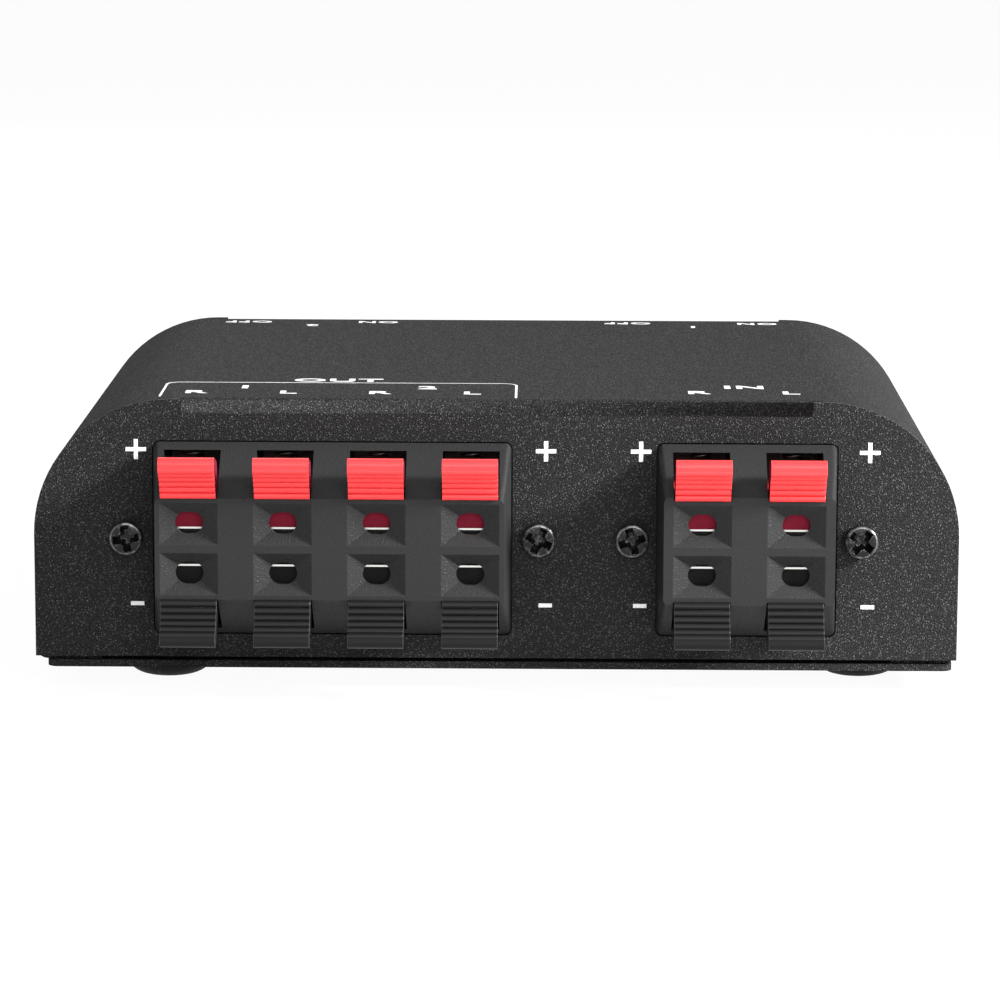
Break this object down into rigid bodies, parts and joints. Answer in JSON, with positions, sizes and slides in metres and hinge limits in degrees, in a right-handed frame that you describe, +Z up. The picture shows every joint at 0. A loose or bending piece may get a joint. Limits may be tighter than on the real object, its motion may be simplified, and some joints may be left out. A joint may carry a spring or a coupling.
{
  "type": "speaker selector switch",
  "caption": "Low steel case with rounded shoulders, push-lever wire terminals on one side and on/off rocker switches on the other, on rubber feet.",
  "frame": {"origin": "on the surface it stands on, under the middle of the whole object", "axes": "+X to the right as seen from the terminal side, +Y from the terminal side to the switch side, +Z up"},
  "size_m": [0.127, 0.1038, 0.0405],
  "materials": {
    "case_steel": "fine-textured black powder coat",
    "terminal_moulding": "spark-textured black",
    "red_lever": "smooth red",
    "black_lever": "smooth black",
    "switch_moulding": "smooth black",
    "foot_rubber": "matt black",
    "blackened_screws": "black zinc",
    "tinned_contacts": "bright tin",
    "brass_lugs": "bright",
    "spring_steel": "drawn wire",
    "fibre_board": "dark phenolic paper",
    "red_insulation": "smooth",
    "black_insulation": "smooth",
    "white_print": "screen-printed ink"
  },
  "bodies": {
    "case": {"top_cover": "case_steel", "bottom_plate": "case_steel", "bottom_screws": "blackened_screws", "terminal_screws": "blackened_screws", "feet": "foot_rubber", "output_housing": "terminal_moulding", "input_housing": "terminal_moulding", "output_back_board": "fibre_board", "input_back_board": "fibre_board", "output_contacts": "tinned_contacts", "input_contacts": "tinned_contacts", "pair_1_wires": "red_insulation", "pair_2_wires": "red_insulation", "amplifier_wires": "red_insulation", "return_wires": "black_insulation", "pair_1_right_plus_spring": "spring_steel", "pair_1_right_minus_spring": "spring_steel", "pair_1_left_plus_spring": "spring_steel", "pair_1_left_minus_spring": "spring_steel", "pair_2_right_plus_spring": "spring_steel", "pair_2_right_minus_spring": "spring_steel", "pair_2_left_plus_spring": "spring_steel", "pair_2_left_minus_spring": "spring_steel", "input_right_plus_spring": "spring_steel", "input_right_minus_spring": "spring_steel", "input_left_plus_spring": "spring_steel", "input_left_minus_spring": "spring_steel", "switch_1_frame": "switch_moulding", "switch_1_lugs": "brass_lugs", "switch_2_frame": "switch_moulding", "switch_2_lugs": "brass_lugs"},
    "pair_1_right_plus_lever": {"pair_1_right_plus_lever": "red_lever"},
    "pair_1_right_minus_lever": {"pair_1_right_minus_lever": "black_lever"},
    "pair_1_left_plus_lever": {"pair_1_left_plus_lever": "red_lever"},
    "pair_1_left_minus_lever": {"pair_1_left_minus_lever": "black_lever"},
    "pair_2_right_plus_lever": {"pair_2_right_plus_lever": "red_lever"},
    "pair_2_right_minus_lever": {"pair_2_right_minus_lever": "black_lever"},
    "pair_2_left_plus_lever": {"pair_2_left_plus_lever": "red_lever"},
    "pair_2_left_minus_lever": {"pair_2_left_minus_lever": "black_lever"},
    "input_right_plus_lever": {"input_right_plus_lever": "red_lever"},
    "input_right_minus_lever": {"input_right_minus_lever": "black_lever"},
    "input_left_plus_lever": {"input_left_plus_lever": "red_lever"},
    "input_left_minus_lever": {"input_left_minus_lever": "black_lever"},
    "switch_1_rocker": {"switch_1_rocker": "switch_moulding", "switch_1_plungers": "switch_moulding", "switch_1_plunger_springs": "spring_steel"},
    "switch_1_blades": {"switch_1_blades": "brass_lugs"},
    "switch_2_rocker": {"switch_2_rocker": "switch_moulding", "switch_2_plungers": "switch_moulding", "switch_2_plunger_springs": "spring_steel"},
    "switch_2_blades": {"switch_2_blades": "brass_lugs"}
  },
  "joints": [
    {"name": "pair_1_right_plus_press", "type": "hinge", "parent": "case", "child": "pair_1_right_plus_lever", "pos_m": [-0.0415, -0.03353, 0.02605], "axis": [-1, 0, 0], "range_deg": [0, 10], "stiffness_Nm_per_rad": 0.02646, "springref_deg": -27.28, "deforming": ["pair_1_right_plus_spring"]},
    {"name": "pair_1_right_minus_press", "type": "hinge", "parent": "case", "child": "pair_1_right_minus_lever", "pos_m": [-0.0415, -0.03353, 0.01655], "axis": [1, 0, 0], "range_deg": [0, 10], "stiffness_Nm_per_rad": 0.02646, "springref_deg": -27.28, "deforming": ["pair_1_right_minus_spring"]},
    {"name": "pair_1_left_plus_press", "type": "hinge", "parent": "case", "child": "pair_1_left_plus_lever", "pos_m": [-0.0288, -0.03353, 0.02605], "axis": [-1, 0, 0], "range_deg": [0, 10], "stiffness_Nm_per_rad": 0.02646, "springref_deg": -27.28, "deforming": ["pair_1_left_plus_spring"]},
    {"name": "pair_1_left_minus_press", "type": "hinge", "parent": "case", "child": "pair_1_left_minus_lever", "pos_m": [-0.0288, -0.03353, 0.01655], "axis": [1, 0, 0], "range_deg": [0, 10], "stiffness_Nm_per_rad": 0.02646, "springref_deg": -27.28, "deforming": ["pair_1_left_minus_spring"]},
    {"name": "pair_2_right_plus_press", "type": "hinge", "parent": "case", "child": "pair_2_right_plus_lever", "pos_m": [-0.0161, -0.03353, 0.02605], "axis": [-1, 0, 0], "range_deg": [0, 10], "stiffness_Nm_per_rad": 0.02646, "springref_deg": -27.28, "deforming": ["pair_2_right_plus_spring"]},
    {"name": "pair_2_right_minus_press", "type": "hinge", "parent": "case", "child": "pair_2_right_minus_lever", "pos_m": [-0.0161, -0.03353, 0.01655], "axis": [1, 0, 0], "range_deg": [0, 10], "stiffness_Nm_per_rad": 0.02646, "springref_deg": -27.28, "deforming": ["pair_2_right_minus_spring"]},
    {"name": "pair_2_left_plus_press", "type": "hinge", "parent": "case", "child": "pair_2_left_plus_lever", "pos_m": [-0.0034, -0.03353, 0.02605], "axis": [-1, 0, 0], "range_deg": [0, 10], "stiffness_Nm_per_rad": 0.02646, "springref_deg": -27.28, "deforming": ["pair_2_left_plus_spring"]},
    {"name": "pair_2_left_minus_press", "type": "hinge", "parent": "case", "child": "pair_2_left_minus_lever", "pos_m": [-0.0034, -0.03353, 0.01655], "axis": [1, 0, 0], "range_deg": [0, 10], "stiffness_Nm_per_rad": 0.02646, "springref_deg": -27.28, "deforming": ["pair_2_left_minus_spring"]},
    {"name": "input_right_plus_press", "type": "hinge", "parent": "case", "child": "input_right_plus_lever", "pos_m": [0.028, -0.03353, 0.02605], "axis": [-1, 0, 0], "range_deg": [0, 10], "stiffness_Nm_per_rad": 0.02646, "springref_deg": -27.28, "deforming": ["input_right_plus_spring"]},
    {"name": "input_right_minus_press", "type": "hinge", "parent": "case", "child": "input_right_minus_lever", "pos_m": [0.028, -0.03353, 0.01655], "axis": [1, 0, 0], "range_deg": [0, 10], "stiffness_Nm_per_rad": 0.02646, "springref_deg": -27.28, "deforming": ["input_right_minus_spring"]},
    {"name": "input_left_plus_press", "type": "hinge", "parent": "case", "child": "input_left_plus_lever", "pos_m": [0.0407, -0.03353, 0.02605], "axis": [-1, 0, 0], "range_deg": [0, 10], "stiffness_Nm_per_rad": 0.02646, "springref_deg": -27.28, "deforming": ["input_left_plus_spring"]},
    {"name": "input_left_minus_press", "type": "hinge", "parent": "case", "child": "input_left_minus_lever", "pos_m": [0.0407, -0.03353, 0.01655], "axis": [1, 0, 0], "range_deg": [0, 10], "stiffness_Nm_per_rad": 0.02646, "springref_deg": -27.28, "deforming": ["input_left_minus_spring"]},
    {"name": "switch_1_tilt", "type": "hinge", "parent": "case", "child": "switch_1_rocker", "pos_m": [0.0295, 0.04677, 0.022], "axis": [0, 0, -1], "range_deg": [0, 20]},
    {"name": "switch_1_blades_tilt", "type": "hinge", "parent": "case", "child": "switch_1_blades", "pos_m": [0.0295, 0.03897, 0.022], "axis": [0, 0, 1], "range_deg": [0, 16]},
    {"name": "switch_2_tilt", "type": "hinge", "parent": "case", "child": "switch_2_rocker", "pos_m": [-0.0295, 0.04677, 0.022], "axis": [0, 0, -1], "range_deg": [0, 20]},
    {"name": "switch_2_blades_tilt", "type": "hinge", "parent": "case", "child": "switch_2_blades", "pos_m": [-0.0295, 0.03897, 0.022], "axis": [0, 0, 1], "range_deg": [0, 16]}
  ],
  "couplings": [
    {"joint": "switch_1_blades_tilt", "follows": "switch_1_tilt", "ratio": 0.8},
    {"joint": "switch_2_blades_tilt", "follows": "switch_2_tilt", "ratio": 0.8}
  ]
}
